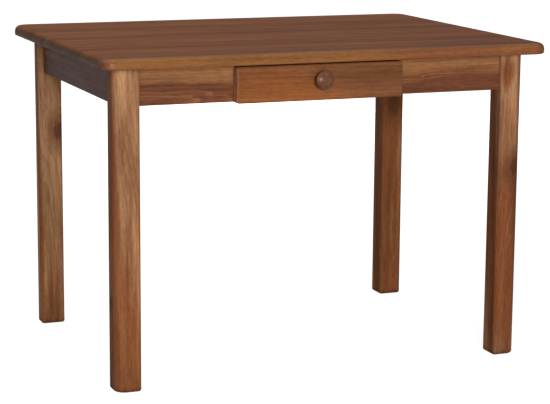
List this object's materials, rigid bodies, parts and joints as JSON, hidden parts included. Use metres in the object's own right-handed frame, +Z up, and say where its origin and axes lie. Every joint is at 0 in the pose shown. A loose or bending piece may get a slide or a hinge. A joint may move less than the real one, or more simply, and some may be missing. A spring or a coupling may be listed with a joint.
{
  "type": "tavern table",
  "caption": "Small solid pine table with square legs, set-back aprons and a lipped drawer with a turned wooden knob under the overhanging top.",
  "frame": {"origin": "on the floor, under the middle of the table top", "axes": "+X along the table's length, -Y towards the drawer's side, +Z up"},
  "size_m": [1.09, 0.82, 0.76],
  "materials": {
    "pine_top": "brown stain under satin lacquer",
    "pine_legs": "brown stain under satin lacquer",
    "pine_aprons": "brown stain under satin lacquer",
    "pine_drawer_front": "orange-brown stain under satin lacquer",
    "pine_plain": "planed and unfinished",
    "plywood": "sanded and unfinished",
    "dowel_wood": "planed and unfinished",
    "knob_wood": "dark stain under satin lacquer",
    "zinc_steel": "zinc plated"
  },
  "bodies": {
    "table": {"top_board_1": "pine_top", "top_board_2": "pine_top", "top_board_3": "pine_top", "top_board_4": "pine_top", "top_board_5": "pine_top", "top_board_6": "pine_top", "top_board_7": "pine_top", "front_left_leg": "pine_legs", "front_right_leg": "pine_legs", "back_left_leg": "pine_legs", "back_right_leg": "pine_legs", "front_apron": "pine_aprons", "back_apron": "pine_aprons", "left_apron": "pine_aprons", "right_apron": "pine_aprons", "apron_dowels": "dowel_wood", "front_left_bracket": "zinc_steel", "front_right_bracket": "zinc_steel", "back_left_bracket": "zinc_steel", "back_right_bracket": "zinc_steel", "hanger_bolts": "zinc_steel", "bracket_washers": "zinc_steel", "bracket_nuts": "zinc_steel", "bracket_screws": "zinc_steel", "top_screws": "zinc_steel", "cleat_screws": "zinc_steel", "left_cleat": "pine_plain", "right_cleat": "pine_plain", "back_cleat": "pine_plain", "front_left_cleat": "pine_plain", "front_right_cleat": "pine_plain", "left_drawer_guide": "pine_plain", "right_drawer_guide": "pine_plain", "left_drawer_ledge": "pine_plain", "right_drawer_ledge": "pine_plain", "drawer_stop": "pine_plain", "guide_dowels": "dowel_wood", "ledge_screws": "zinc_steel", "stop_screws": "zinc_steel"},
    "drawer": {"drawer_front": "pine_drawer_front", "drawer_left_side": "pine_plain", "drawer_right_side": "pine_plain", "drawer_back": "pine_plain", "drawer_bottom": "plywood", "drawer_back_pins": "zinc_steel", "drawer_bottom_pins": "zinc_steel", "drawer_knob": "knob_wood", "knob_screw": "zinc_steel"}
  },
  "joints": [
    {"name": "drawer_slide", "type": "slide", "parent": "table", "child": "drawer", "axis": [0, -1, 0], "range_m": [0, 0.37]}
  ]
}
